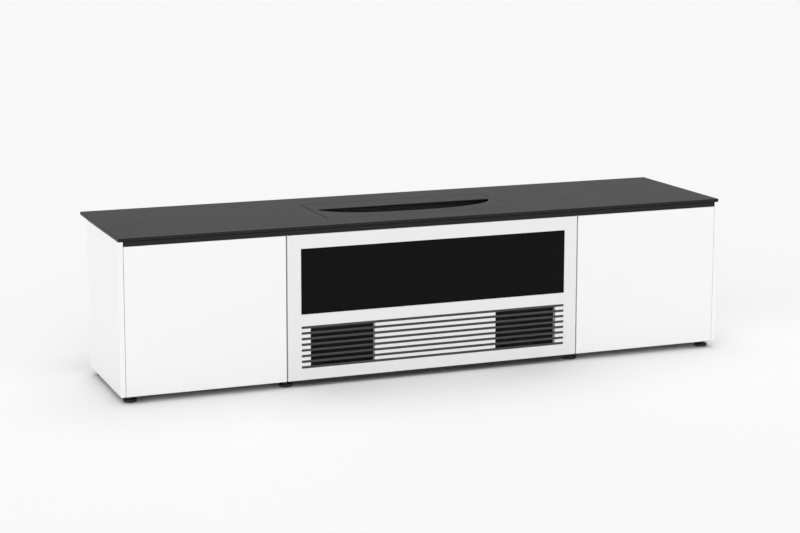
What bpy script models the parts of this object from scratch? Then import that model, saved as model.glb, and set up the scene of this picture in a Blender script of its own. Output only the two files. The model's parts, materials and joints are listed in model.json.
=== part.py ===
"""Low media cabinet for a short-throw projector: metres, +Z up, front towards -Y.

The origin is on the floor, under the middle of the top panel.
"""
import bpy
import bmesh
from math import cos, pi, sin
from mathutils import Matrix, Vector

# --- driving sizes ---------------------------------------------------------------
CABINET_WIDTH = 2.200
TOP_DEPTH = 0.553
TOP_THICKNESS = 0.0114
CARCASS_DEPTH = 0.447
SUB_TOP_THICKNESS = 0.014
DOOR_HEIGHT = 0.494
DOOR_THICKNESS = 0.019
SIDE_THICKNESS = 0.016
DIVIDER_THICKNESS = 0.018
DIVIDER_SPACING = 1.070
BOTTOM_THICKNESS = 0.018
BACK_THICKNESS = 0.008
SHELF_THICKNESS = 0.018
FOOT_HEIGHT = 0.024
FOOT_RADIUS = 0.023
FOOT_WAIST_RADIUS = 0.0143
EDGE_ROUND = 0.0006

# --- clearances ------------------------------------------------------------------
TOUCH = 0.0003
DOOR_SIDE_GAP = 0.0012
DOOR_TOP_GAP = 0.002
DOOR_BACK_GAP = 0.003
FLAP_GAP = 0.005
OVERCUT = 0.010

# --- centre flap -----------------------------------------------------------------
SIDE_BORDER = 0.047
TOP_BORDER = 0.0471
MIDDLE_BORDER = 0.0430
GRILLE_CLEARANCE = 0.0008
GRILLE_RIM = 0.022
GRILLE_THICKNESS = 0.012
CLOTH_THICKNESS = 0.0012
GRILLE_LEDGE = 0.012
WINDOW_WIDTH = 0.230
WINDOW_INSET = 0.0315
WINDOW_BOTTOM = 0.0405
WINDOW_HEIGHT = 0.1405
BAR_COUNT = 8
BAR_INSET = 0.001
BAR_HEIGHT = 0.008
BAR_DEPTH = 0.004
BAR_FIRST = 0.0440
BAR_PITCH = 0.01936
SCREEN_LAP = 0.008
SCREEN_THICKNESS = 0.0015

# --- top opening -----------------------------------------------------------------
INSERT_SIZE = (0.694, 0.298)
INSERT_SETBACK = 0.117
INSERT_THICKNESS = 0.006
INSERT_CLEARANCE = 0.0012
INSERT_LEDGE = 0.012
LENS_HALF_WIDTH = 0.325
LENS_DEPTH = 0.131
LENS_SETBACK = 0.172
LENS_WIDTH_POWER = 2.5
LENS_DEPTH_POWER = 1.8
LENS_STEPS = 28
BAY_HOLE_MARGIN = 0.030

# --- hardware --------------------------------------------------------------------
PIVOT_INSET = 0.010
PIVOT_SETBACK = 0.0045
PIN_RADIUS = 0.0025
PIN_CLEARANCE = 0.0003
PIN_DEPTH = 0.010
BRACKET_THICKNESS = 0.0012
BRACKET_SIZE = (0.055, 0.060)
BRACKET_FOOT_CLEARANCE = 0.002
FLAP_AXIS_SETBACK = 0.0045
FLAP_AXIS_DROP = 0.0045
KNUCKLE_RADIUS = 0.0036
KNUCKLE_BORE = 0.0019
HINGE_PIN_RADIUS = 0.0016
LEAF_THICKNESS = 0.0012
LEAF_END_GAP = 0.033
KNUCKLE_COUNT = 7
KNUCKLE_GAP = 0.0006
FIXED_LEAF_REACH = 0.055
LATCH_SIZE = (0.013, 0.055, 0.020)
PLUNGER_RADIUS = 0.004
PLUNGER_LENGTH = 0.030
PLUNGER_PRESS = 0.0025
LATCH_HEIGHT = 0.300
SHELF_HEIGHT = 0.255
SHELF_SETBACK = 0.025
SPEAKER_SHELF_DEPTH = 0.135
SPEAKER_SHELF_DROP = 0.0025
SPEAKER_SHELF_THICKNESS = 0.016
TRAY_WIDTH = 0.700
TRAY_TRAVEL_GAP = 0.040
TRAY_SHEET = 0.002
TRAY_LIP = 0.014
RAIL_SIZE = (0.030, 0.020)
RAIL_END_GAP = 0.016
RAIL_SPACING = 0.500
FOOT_END_INSET = 0.0375
FOOT_DIVIDER_INSET = 0.005
FOOT_SETBACK = 0.038
FOOT_REAR_INSET = 0.045
FOOT_STEM_RADIUS = 0.004
FOOT_STEM_DEPTH = 0.012
CABLE_HOLE_RADIUS = 0.030
CABLE_HOLE_DROP = 0.114
DIVIDER_HOLE_FROM_BACK = 0.060
DIVIDER_HOLE_DROP = 0.184
GROMMET_FLANGE = 0.006
GROMMET_WALL = 0.0025
GROMMET_CLEARANCE = 0.0004
SLOT_ROWS = 5
SLOT_COLUMNS = 4
SLOT_SIZE = (0.180, 0.012)
SLOT_PITCH = (0.230, 0.030)
SLOT_DROP = 0.074

# --- sizes that follow -----------------------------------------------------------
FRONT = -TOP_DEPTH / 2
BACK = FRONT + CARCASS_DEPTH
BASE = FOOT_HEIGHT
SUB_TOP_BOTTOM = BASE + DOOR_HEIGHT + DOOR_TOP_GAP
SUB_TOP_TOP = SUB_TOP_BOTTOM + SUB_TOP_THICKNESS
TOP_BOTTOM = SUB_TOP_TOP + TOUCH
TOP = TOP_BOTTOM + TOP_THICKNESS
SIDE_INNER = CABINET_WIDTH / 2 - SIDE_THICKNESS
DIVIDER_X = DIVIDER_SPACING / 2
DIVIDER_OUTER = DIVIDER_X + DIVIDER_THICKNESS / 2
DIVIDER_INNER = DIVIDER_X - DIVIDER_THICKNESS / 2
DOOR_BACK = FRONT + DOOR_THICKNESS
CARCASS_FRONT = DOOR_BACK + DOOR_BACK_GAP
BACK_FRONT = BACK - BACK_THICKNESS
FLOOR_TOP = BASE + BOTTOM_THICKNESS
DOOR_OUTER = SIDE_INNER - DOOR_SIDE_GAP
DOOR_INNER = DIVIDER_X + FLAP_GAP / 2
FLAP_HALF = DIVIDER_X - FLAP_GAP / 2
PIVOT_X = DOOR_OUTER - PIVOT_INSET
PIVOT_Y = FRONT + PIVOT_SETBACK
FLAP_AXIS_Y = FRONT + FLAP_AXIS_SETBACK
FLAP_AXIS_Z = BASE - FLAP_AXIS_DROP
WINDOW_LOW = BASE + WINDOW_BOTTOM
WINDOW_HIGH = WINDOW_LOW + WINDOW_HEIGHT
CLOTH_HALF = FLAP_HALF - SIDE_BORDER
CLOTH_LOW = WINDOW_HIGH + MIDDLE_BORDER
CLOTH_HIGH = BASE + DOOR_HEIGHT - TOP_BORDER
BAR_HALF = CLOTH_HALF - BAR_INSET
WINDOW_OUTER_X = BAR_HALF - WINDOW_INSET
WINDOW_INNER_X = WINDOW_OUTER_X - WINDOW_WIDTH
LEAF_HALF = FLAP_HALF - LEAF_END_GAP
RAIL_FRONT = CARCASS_FRONT + RAIL_END_GAP
RAIL_BACK = BACK_FRONT - RAIL_END_GAP
TRAY_FRONT = RAIL_FRONT + TRAY_TRAVEL_GAP
TRAY_BACK = RAIL_BACK - TRAY_TRAVEL_GAP
GRILLE_BACK = FRONT + 2 * TOUCH + CLOTH_THICKNESS + GRILLE_THICKNESS
SPEAKER_SHELF_TOP = CLOTH_LOW - SPEAKER_SHELF_DROP
INSERT_FRONT = FRONT + INSERT_SETBACK
INSERT_BACK = INSERT_FRONT + INSERT_SIZE[1]
LENS_BACK = FRONT + LENS_SETBACK + LENS_DEPTH
SIDES = (("left", -1), ("right", 1))


# --- tools -----------------------------------------------------------------------
def clear_scene():
    for item in list(bpy.data.objects):
        bpy.data.objects.remove(item)


def material(name, colour, roughness, metallic=0.0):
    made = bpy.data.materials.new(name)
    made.use_nodes = True
    shader = made.node_tree.nodes["Principled BSDF"]
    shader.inputs["Base Color"].default_value = (*colour, 1.0)
    shader.inputs["Roughness"].default_value = roughness
    shader.inputs["Metallic"].default_value = metallic
    return made


def add_object(name, mesh, look, origin=(0, 0, 0)):
    """Links a mesh drawn in world coordinates, with its origin moved to a point."""
    mesh.transform(Matrix.Translation(-Vector(origin)))
    made = bpy.data.objects.new(name, mesh)
    made.location = origin
    if look:
        own = look.copy()
        own.name = name
        mesh.materials.append(own)
    bpy.context.scene.collection.objects.link(made)
    return made


def box_mesh(name, low, high):
    shape = bmesh.new()
    bmesh.ops.create_cube(shape, size=1.0)
    low = Vector(low)
    high = Vector(high)
    bmesh.ops.scale(shape, vec=high - low, verts=shape.verts)
    bmesh.ops.translate(shape, vec=(low + high) / 2, verts=shape.verts)
    mesh = bpy.data.meshes.new(name)
    shape.to_mesh(mesh)
    shape.free()
    return mesh


def box(name, low, high, look, origin=(0, 0, 0)):
    return add_object(name, box_mesh(name, low, high), look, origin)


def soften(item, width=EDGE_ROUND):
    """Breaks the sharp edges of a board."""
    bevel = item.modifiers.new("edge", "BEVEL")
    bevel.width = width
    bevel.segments = 1
    bevel.limit_method = "ANGLE"


def turned_mesh(name, profile, centre, axis="Z", segments=24):
    """Turns a closed (radius, height) profile, given anticlockwise, round an axis."""
    shape = bmesh.new()
    rings = []
    for radius, height in profile:
        if radius == 0:
            rings.append([shape.verts.new((0, 0, height))])
            continue
        turns = [2 * pi * step / segments for step in range(segments)]
        rings.append([shape.verts.new((radius * cos(t), radius * sin(t), height)) for t in turns])
    closed = profile[0][0] != 0
    pairs = list(zip(rings, rings[1:])) + ([(rings[-1], rings[0])] if closed else [])
    for lower, upper in pairs:
        for step in range(segments):
            after = (step + 1) % segments
            corners = []
            for ring, order in ((lower, (step, after)), (upper, (after, step))):
                corners += [ring[0]] if len(ring) == 1 else [ring[order[0]], ring[order[1]]]
            shape.faces.new(corners)
    bmesh.ops.recalc_face_normals(shape, faces=shape.faces)
    turn = {"X": Matrix.Rotation(pi / 2, 4, "Y"), "Y": Matrix.Rotation(-pi / 2, 4, "X"), "Z": Matrix()}
    bmesh.ops.transform(shape, matrix=Matrix.Translation(centre) @ turn[axis], verts=shape.verts)
    mesh = bpy.data.meshes.new(name)
    shape.to_mesh(mesh)
    shape.free()
    return mesh


def turned(name, profile, centre, look, axis="Z", segments=24, origin=(0, 0, 0)):
    made = add_object(name, turned_mesh(name, profile, centre, axis, segments), look, origin)
    made.data.shade_smooth()
    made.data.set_sharp_from_angle(angle=0.6)
    return made


def rod(name, radius, low, high, centre, look, axis="Z", segments=16, origin=(0, 0, 0)):
    profile = [(0, low), (radius, low), (radius, high), (0, high)]
    return turned(name, profile, centre, look, axis, segments, origin)


def combine(item, tool, operation):
    """Unites a tool with an object or cuts the tool from it; the tool stays as a guide."""
    tool.hide_render = True
    tool.display_type = "WIRE"
    step = item.modifiers.new(tool.name, "BOOLEAN")
    step.operation = operation
    step.solver = "EXACT"
    step.object = tool


def cut(item, tool):
    combine(item, tool, "DIFFERENCE")


def unite(item, tool):
    combine(item, tool, "UNION")


# --- looks -----------------------------------------------------------------------
def make_looks():
    return {
        "white": material("gloss_white", (0.85, 0.85, 0.85), 0.15),
        "charcoal": material("charcoal_laminate", (0.045, 0.045, 0.047), 0.5),
        "interior": material("dark_board", (0.05, 0.05, 0.052), 0.6),
        "cloth": material("black_cloth", (0.01, 0.01, 0.01), 0.95),
        "bar": material("dark_bar", (0.07, 0.07, 0.07), 0.4, 0.8),
        "plastic": material("black_plastic", (0.012, 0.012, 0.012), 0.5),
        "steel": material("steel", (0.5, 0.5, 0.5), 0.35, 1.0),
        "black_steel": material("black_steel", (0.02, 0.02, 0.02), 0.45, 0.6),
    }


# --- carcass ---------------------------------------------------------------------
def make_sides(looks):
    for side, sign in SIDES:
        outer = sign * CABINET_WIDTH / 2
        inner = sign * SIDE_INNER
        low = (min(outer, inner), FRONT, BASE)
        high = (max(outer, inner), BACK, SUB_TOP_TOP)
        soften(box(f"{side}_side_panel", low, high, looks["white"]))


def make_dividers(looks):
    for side, sign in SIDES:
        centre = sign * DIVIDER_X
        half = DIVIDER_THICKNESS / 2
        low = (centre - half, CARCASS_FRONT, FLOOR_TOP + TOUCH)
        high = (centre + half, BACK_FRONT - TOUCH, SUB_TOP_BOTTOM - TOUCH)
        divider = box(f"{side}_divider", low, high, looks["interior"])
        place = (centre, BACK_FRONT - DIVIDER_HOLE_FROM_BACK, SUB_TOP_BOTTOM - DIVIDER_HOLE_DROP)
        reach = DIVIDER_THICKNESS
        cut(divider, rod(f"{side}_divider_hole", CABLE_HOLE_RADIUS, -reach, reach, place, None, "X", 24))


def foot_places():
    """The feet, each as (name, x, y): under both ends and both dividers, front and back."""
    columns = (
        ("left", -CABINET_WIDTH / 2 + FOOT_END_INSET),
        ("left_middle", -DIVIDER_X + FOOT_DIVIDER_INSET),
        ("right_middle", DIVIDER_X - FOOT_DIVIDER_INSET),
        ("right", CABINET_WIDTH / 2 - FOOT_END_INSET),
    )
    rows = (("front", FRONT + FOOT_SETBACK), ("rear", BACK - FOOT_REAR_INSET))
    return [(f"{row}_{column}_foot", x, y) for row, y in rows for column, x in columns]


def make_bottom(looks):
    low = (-SIDE_INNER + TOUCH, CARCASS_FRONT, BASE)
    high = (SIDE_INNER - TOUCH, BACK_FRONT - TOUCH, FLOOR_TOP)
    bottom = box("bottom_panel", low, high, looks["interior"])
    for name, x, y in foot_places():
        depth = FOOT_STEM_DEPTH + TOUCH
        radius = FOOT_STEM_RADIUS + TOUCH
        cut(bottom, rod(f"{name}_socket", radius, -OVERCUT, depth, (x, y, BASE), None, "Z", 16))


def make_sub_top(looks):
    low = (-SIDE_INNER + TOUCH, FRONT, SUB_TOP_BOTTOM)
    high = (SIDE_INNER - TOUCH, BACK, SUB_TOP_TOP)
    board = box("sub_top", low, high, looks["charcoal"])
    half = INSERT_SIZE[0] / 2 + BAY_HOLE_MARGIN
    low = (-half, INSERT_FRONT - BAY_HOLE_MARGIN / 2, SUB_TOP_BOTTOM - OVERCUT)
    high = (half, INSERT_BACK + BAY_HOLE_MARGIN / 2, SUB_TOP_TOP + OVERCUT)
    cut(board, box("sub_top_hole", low, high, None))


def make_top(looks):
    low = (-CABINET_WIDTH / 2, FRONT, TOP_BOTTOM)
    high = (CABINET_WIDTH / 2, FRONT + TOP_DEPTH, TOP)
    top = box("top_panel", low, high, looks["charcoal"])
    half = INSERT_SIZE[0] / 2 + INSERT_CLEARANCE
    floor = TOP - INSERT_THICKNESS - TOUCH
    low = (-half, INSERT_FRONT - INSERT_CLEARANCE, floor)
    high = (half, INSERT_BACK + INSERT_CLEARANCE, TOP + OVERCUT)
    cut(top, box("insert_rebate", low, high, None))
    half = INSERT_SIZE[0] / 2 - INSERT_LEDGE
    low = (-half, INSERT_FRONT + INSERT_LEDGE, TOP_BOTTOM - OVERCUT)
    high = (half, INSERT_BACK - INSERT_LEDGE, TOP + OVERCUT)
    cut(top, box("insert_hole", low, high, None))


def lens_outline():
    """A straight back edge and a bowed front, by a superellipse, seen from above."""
    points = []
    for step in range(LENS_STEPS + 1):
        turn = pi * step / LENS_STEPS
        across = abs(cos(turn)) ** (2 / LENS_WIDTH_POWER)
        down = abs(sin(turn)) ** (2 / LENS_DEPTH_POWER)
        side = -1 if cos(turn) > 0 else 1
        points.append((side * LENS_HALF_WIDTH * across, LENS_BACK - LENS_DEPTH * down))
    return points


def make_insert(looks):
    half = INSERT_SIZE[0] / 2
    low = (-half, INSERT_FRONT, TOP - INSERT_THICKNESS)
    high = (half, INSERT_BACK, TOP)
    insert = box("lens_insert", low, high, looks["charcoal"])
    shape = bmesh.new()
    bottom = TOP - INSERT_THICKNESS - OVERCUT
    face = shape.faces.new([shape.verts.new((x, y, bottom)) for x, y in lens_outline()])
    rise = bmesh.ops.extrude_face_region(shape, geom=[face])
    lifted = [part for part in rise["geom"] if isinstance(part, bmesh.types.BMVert)]
    bmesh.ops.translate(shape, vec=(0, 0, INSERT_THICKNESS + 2 * OVERCUT), verts=lifted)
    bmesh.ops.recalc_face_normals(shape, faces=shape.faces)
    mesh = bpy.data.meshes.new("lens_hole")
    shape.to_mesh(mesh)
    shape.free()
    cut(insert, add_object("lens_hole", mesh, None))


def make_backs(looks):
    low_z = BASE
    high_z = SUB_TOP_BOTTOM - TOUCH
    half_joint = TOUCH / 2
    middle_low = (-DIVIDER_X + half_joint, BACK_FRONT, low_z)
    middle_high = (DIVIDER_X - half_joint, BACK, high_z)
    middle = box("center_back_panel", middle_low, middle_high, looks["interior"])
    for row in range(SLOT_ROWS):
        for column in range(SLOT_COLUMNS):
            x = (column - (SLOT_COLUMNS - 1) / 2) * SLOT_PITCH[0]
            z = SUB_TOP_BOTTOM - SLOT_DROP - row * SLOT_PITCH[1]
            low = (x - SLOT_SIZE[0] / 2, BACK_FRONT - OVERCUT, z - SLOT_SIZE[1] / 2)
            high = (x + SLOT_SIZE[0] / 2, BACK + OVERCUT, z + SLOT_SIZE[1] / 2)
            cut(middle, box(f"vent_slot_{row}_{column}", low, high, None))
    for side, sign in SIDES:
        ends = sorted((sign * (DIVIDER_X + half_joint), sign * (SIDE_INNER - TOUCH)))
        low = (ends[0], BACK_FRONT, low_z)
        high = (ends[1], BACK, high_z)
        panel = box(f"{side}_back_panel", low, high, looks["interior"])
        place = ((ends[0] + ends[1]) / 2, BACK_FRONT, SUB_TOP_BOTTOM - CABLE_HOLE_DROP)
        hole = CABLE_HOLE_RADIUS + GROMMET_WALL + GROMMET_CLEARANCE
        cut(panel, rod(f"{side}_cable_hole", hole, -OVERCUT, 2 * OVERCUT, place, None, "Y", 32))
        inner = CABLE_HOLE_RADIUS
        outer = inner + GROMMET_WALL
        face = BACK_THICKNESS + TOUCH
        rim = face + GROMMET_WALL
        flange = outer + GROMMET_FLANGE
        profile = [(inner, 0), (outer, 0), (outer, face), (flange, face), (flange, rim), (inner, rim)]
        turned(f"{side}_cable_grommet", profile, place, looks["plastic"], "Y", 32)


def make_shelves(looks):
    for side, sign in SIDES:
        ends = sorted((sign * (DIVIDER_OUTER + TOUCH), sign * (SIDE_INNER - TOUCH)))
        low = (ends[0], CARCASS_FRONT + SHELF_SETBACK, SHELF_HEIGHT)
        high = (ends[1], BACK_FRONT - TOUCH, SHELF_HEIGHT + SHELF_THICKNESS)
        box(f"{side}_shelf", low, high, looks["interior"])
    half = DIVIDER_INNER - TOUCH
    low = (-half, CARCASS_FRONT, SPEAKER_SHELF_TOP - SPEAKER_SHELF_THICKNESS)
    high = (half, CARCASS_FRONT + SPEAKER_SHELF_DEPTH, SPEAKER_SHELF_TOP)
    box("speaker_shelf", low, high, looks["interior"])


def make_tray(looks):
    width, height = RAIL_SIZE
    rail_top = FLOOR_TOP + TOUCH + height
    for side, sign in SIDES:
        x = sign * RAIL_SPACING / 2
        low = (x - width / 2, RAIL_FRONT, FLOOR_TOP + TOUCH)
        high = (x + width / 2, RAIL_BACK, rail_top)
        rail = box(f"{side}_tray_rail", low, high, looks["steel"])
        groove_low = (x - width / 4, low[1] - OVERCUT, rail_top - height / 2)
        groove_high = (x + width / 4, high[1] + OVERCUT, rail_top + OVERCUT)
        cut(rail, box(f"{side}_rail_groove", groove_low, groove_high, None))
    half = TRAY_WIDTH / 2
    bottom = rail_top + TOUCH
    low = (-half, TRAY_FRONT, bottom)
    high = (half, TRAY_BACK, bottom + TRAY_LIP)
    tray = box("projector_tray", low, high, looks["black_steel"], (0, TRAY_FRONT, bottom))
    low = (-half + TRAY_SHEET, TRAY_FRONT + TRAY_SHEET, bottom + TRAY_SHEET)
    high = (half - TRAY_SHEET, TRAY_BACK - TRAY_SHEET, bottom + TRAY_LIP + OVERCUT)
    cut(tray, box("tray_hollow", low, high, None))


# --- doors and flap --------------------------------------------------------------
def make_doors(looks):
    for side, sign in SIDES:
        ends = sorted((sign * DOOR_INNER, sign * DOOR_OUTER))
        low = (ends[0], FRONT, BASE)
        high = (ends[1], DOOR_BACK, BASE + DOOR_HEIGHT)
        axis = (sign * PIVOT_X, PIVOT_Y, BASE)
        door = box(f"{side}_door", low, high, looks["white"], axis)
        soften(door)
        for end, z in (("bottom", BASE), ("top", BASE + DOOR_HEIGHT)):
            radius = PIN_RADIUS + PIN_CLEARANCE
            reach = PIN_DEPTH + PIN_CLEARANCE
            place = (sign * PIVOT_X, PIVOT_Y, z)
            cut(door, rod(f"{side}_{end}_pin_bore", radius, -reach, reach, place, None, "Z", 16))
        make_pivots(side, sign, looks)


def make_pivots(side, sign, looks):
    """A plate with a pin, screwed on above the door and below it."""
    pin_x = sign * PIVOT_X
    width, length = BRACKET_SIZE
    for end in ("bottom", "top"):
        if end == "bottom":
            plate_low = BASE - TOUCH - BRACKET_THICKNESS
            pin_low = plate_low
            pin_high = BASE + PIN_DEPTH
        else:
            plate_low = SUB_TOP_BOTTOM - TOUCH - BRACKET_THICKNESS
            pin_low = BASE + DOOR_HEIGHT - PIN_DEPTH
            pin_high = plate_low + BRACKET_THICKNESS
        front = PIVOT_Y - PIN_RADIUS
        low = (pin_x - PIVOT_INSET / 2, front, plate_low)
        high = (pin_x + PIVOT_INSET / 2, front + length, plate_low + BRACKET_THICKNESS)
        if sign < 0:
            high = (low[0] + width, high[1], high[2])
        else:
            low = (high[0] - width, low[1], low[2])
        plate = box(f"{side}_{end}_pivot", low, high, looks["black_steel"])
        place = (pin_x, PIVOT_Y, 0)
        unite(plate, rod(f"{side}_{end}_pin", PIN_RADIUS, pin_low, pin_high, place, None, "Z", 16))
        if end == "bottom":
            foot = (sign * (CABINET_WIDTH / 2 - FOOT_END_INSET), FRONT + FOOT_SETBACK, BASE)
            radius = FOOT_WAIST_RADIUS + BRACKET_FOOT_CLEARANCE
            cut(plate, rod(f"{side}_foot_notch", radius, -OVERCUT, OVERCUT / 2, foot, None, "Z", 24))


def window_ends():
    return {"left": (-WINDOW_OUTER_X, -WINDOW_INNER_X), "right": (WINDOW_INNER_X, WINDOW_OUTER_X)}


def make_flap(looks):
    axis = (0, FLAP_AXIS_Y, FLAP_AXIS_Z)
    low = (-FLAP_HALF, FRONT, BASE)
    high = (FLAP_HALF, DOOR_BACK, BASE + DOOR_HEIGHT)
    flap = box("center_flap", low, high, looks["white"], axis)
    soften(flap)
    half = CLOTH_HALF
    low = (-half, FRONT - OVERCUT, CLOTH_LOW)
    high = (half, GRILLE_BACK + TOUCH, CLOTH_HIGH)
    cut(flap, box("grille_rebate", low, high, None))
    low = (-half + GRILLE_LEDGE, FRONT, CLOTH_LOW + GRILLE_LEDGE)
    high = (half - GRILLE_LEDGE, DOOR_BACK + OVERCUT, CLOTH_HIGH - GRILLE_LEDGE)
    cut(flap, box("speaker_hole", low, high, None))
    for side, ends in window_ends().items():
        low = (ends[0], FRONT - OVERCUT, WINDOW_LOW)
        high = (ends[1], DOOR_BACK + OVERCUT, WINDOW_HIGH)
        cut(flap, box(f"{side}_window", low, high, None))
        low = (ends[0] - SCREEN_LAP, DOOR_BACK + TOUCH, WINDOW_LOW - SCREEN_LAP)
        high = (ends[1] + SCREEN_LAP, DOOR_BACK + TOUCH + SCREEN_THICKNESS, WINDOW_HIGH + SCREEN_LAP)
        box(f"{side}_vent_screen", low, high, looks["plastic"], axis)
    for number in range(BAR_COUNT):
        z = BASE + BAR_FIRST + number * BAR_PITCH
        half_height = BAR_HEIGHT / 2
        low = (-BAR_HALF, FRONT + TOUCH, z - half_height)
        high = (BAR_HALF, FRONT + TOUCH + BAR_DEPTH, z + half_height)
        box(f"vent_bar_{number + 1}", low, high, looks["bar"], axis)
        low = (-BAR_HALF - TOUCH, FRONT - OVERCUT, z - half_height - TOUCH)
        high = (BAR_HALF + TOUCH, FRONT + 2 * TOUCH + BAR_DEPTH, z + half_height + TOUCH)
        cut(flap, box(f"bar_groove_{number + 1}", low, high, None))


def make_grille(looks):
    half = CLOTH_HALF - GRILLE_CLEARANCE
    low_z = CLOTH_LOW + GRILLE_CLEARANCE
    high_z = CLOTH_HIGH - GRILLE_CLEARANCE
    cloth_back = FRONT + TOUCH + CLOTH_THICKNESS
    low = (-half, cloth_back + TOUCH, low_z)
    high = (half, GRILLE_BACK, high_z)
    frame = box("speaker_grille_frame", low, high, looks["plastic"])
    low = (-half + GRILLE_RIM, FRONT, low_z + GRILLE_RIM)
    high = (half - GRILLE_RIM, GRILLE_BACK + OVERCUT, high_z - GRILLE_RIM)
    cut(frame, box("grille_hole", low, high, None))
    low = (-half, FRONT + TOUCH, low_z)
    high = (half, cloth_back, high_z)
    box("speaker_grille_cloth", low, high, looks["cloth"])


def knuckle_spans():
    """The knuckles along the flap hinge, each as (first x, last x)."""
    pitch = 2 * LEAF_HALF / KNUCKLE_COUNT
    start = -LEAF_HALF
    spans = []
    for number in range(KNUCKLE_COUNT):
        first = start + number * pitch + KNUCKLE_GAP / 2
        spans.append((first, first + pitch - KNUCKLE_GAP))
    return spans


def make_flap_hinge(looks):
    """Two leaves whose knuckles take turns along one pin, all under the flap's front edge."""
    centre = (0, FLAP_AXIS_Y, FLAP_AXIS_Z)
    half = LEAF_HALF
    moving_z = BASE - TOUCH - LEAF_THICKNESS
    fixed_z = moving_z - TOUCH - LEAF_THICKNESS
    leaves = (
        ("flap_hinge_moving_leaf", 1, moving_z, DOOR_BACK),
        ("flap_hinge_fixed_leaf", 0, fixed_z, CARCASS_FRONT + FIXED_LEAF_REACH),
    )
    for name, parity, z, back in leaves:
        low = (-half, FLAP_AXIS_Y + KNUCKLE_RADIUS / 2, z)
        high = (half, back, z + LEAF_THICKNESS)
        leaf = box(name, low, high, looks["black_steel"], centre)
        for number, (first, last) in enumerate(knuckle_spans()):
            if number % 2 == parity:
                barrel = rod(f"{name}_knuckle_{number}", KNUCKLE_RADIUS, first, last, centre, None, "X", 16)
                unite(leaf, barrel)
            else:
                low = (first - KNUCKLE_GAP, centre[1] - OVERCUT, centre[2] - OVERCUT)
                high = (last + KNUCKLE_GAP, centre[1] + KNUCKLE_RADIUS + 2 * TOUCH, centre[2] + OVERCUT)
                cut(leaf, box(f"{name}_notch_{number}", low, high, None))
        cut(leaf, rod(f"{name}_bore", KNUCKLE_BORE, -half - OVERCUT, half + OVERCUT, centre, None, "X", 16))
    rod("flap_hinge_pin", HINGE_PIN_RADIUS, -half, half, centre, looks["steel"], "X", 16)
    spacer_low = (-half, CARCASS_FRONT, fixed_z + LEAF_THICKNESS + TOUCH)
    spacer_high = (half, CARCASS_FRONT + FIXED_LEAF_REACH, BASE - TOUCH)
    box("flap_hinge_spacer", spacer_low, spacer_high, looks["black_steel"])


# --- latches and feet ------------------------------------------------------------
def make_latch(name, centre_x, low_z, width, height, looks):
    """A push-to-open latch: its plunger points forward and touches the back of the front."""
    length = LATCH_SIZE[1]
    low = (centre_x - width / 2, CARCASS_FRONT, low_z)
    high = (centre_x + width / 2, CARCASS_FRONT + length, low_z + height)
    body = box(f"{name}_latch_body", low, high, looks["plastic"])
    tip = DOOR_BACK + TOUCH
    centre = (centre_x, tip, low_z + height / 2)
    radius = PLUNGER_RADIUS + TOUCH
    depth = PLUNGER_LENGTH + PLUNGER_PRESS + TOUCH
    cut(body, rod(f"{name}_latch_bore", radius, -OVERCUT, depth, centre, None, "Y", 16))
    rod(f"{name}_latch_plunger", PLUNGER_RADIUS, 0, PLUNGER_LENGTH, centre, looks["steel"], "Y", 16, centre)


def make_latches(looks):
    thick, _, tall = LATCH_SIZE
    for side, sign in SIDES:
        x = sign * (DIVIDER_OUTER + TOUCH + thick / 2)
        make_latch(f"{side}_door", x, LATCH_HEIGHT, thick, tall, looks)
    make_latch("flap", 0, SUB_TOP_BOTTOM - TOUCH - thick, tall, thick, looks)


def make_feet(looks):
    waist = FOOT_WAIST_RADIUS
    step = FOOT_HEIGHT / 6
    stem = FOOT_STEM_RADIUS
    profile = [
        (0, 0),
        (FOOT_RADIUS - step / 2, 0),
        (FOOT_RADIUS, step / 2),
        (FOOT_RADIUS, 2 * step),
        (FOOT_RADIUS - step / 2, 2.6 * step),
        (waist, 3 * step),
        (waist, FOOT_HEIGHT - TOUCH),
        (stem, FOOT_HEIGHT - TOUCH),
        (stem, FOOT_HEIGHT + FOOT_STEM_DEPTH),
        (0, FOOT_HEIGHT + FOOT_STEM_DEPTH),
    ]
    for name, x, y in foot_places():
        turned(name, profile, (x, y, 0), looks["plastic"], "Z", 20, (x, y, 0))


def main():
    clear_scene()
    looks = make_looks()
    make_sides(looks)
    make_dividers(looks)
    make_bottom(looks)
    make_sub_top(looks)
    make_top(looks)
    make_insert(looks)
    make_backs(looks)
    make_shelves(looks)
    make_tray(looks)
    make_doors(looks)
    make_flap(looks)
    make_grille(looks)
    make_flap_hinge(looks)
    make_latches(looks)
    make_feet(looks)


main()
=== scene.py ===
import json
from math import atan2, pi, radians, sin

import bmesh
import bpy
from mathutils import Matrix, Vector


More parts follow.
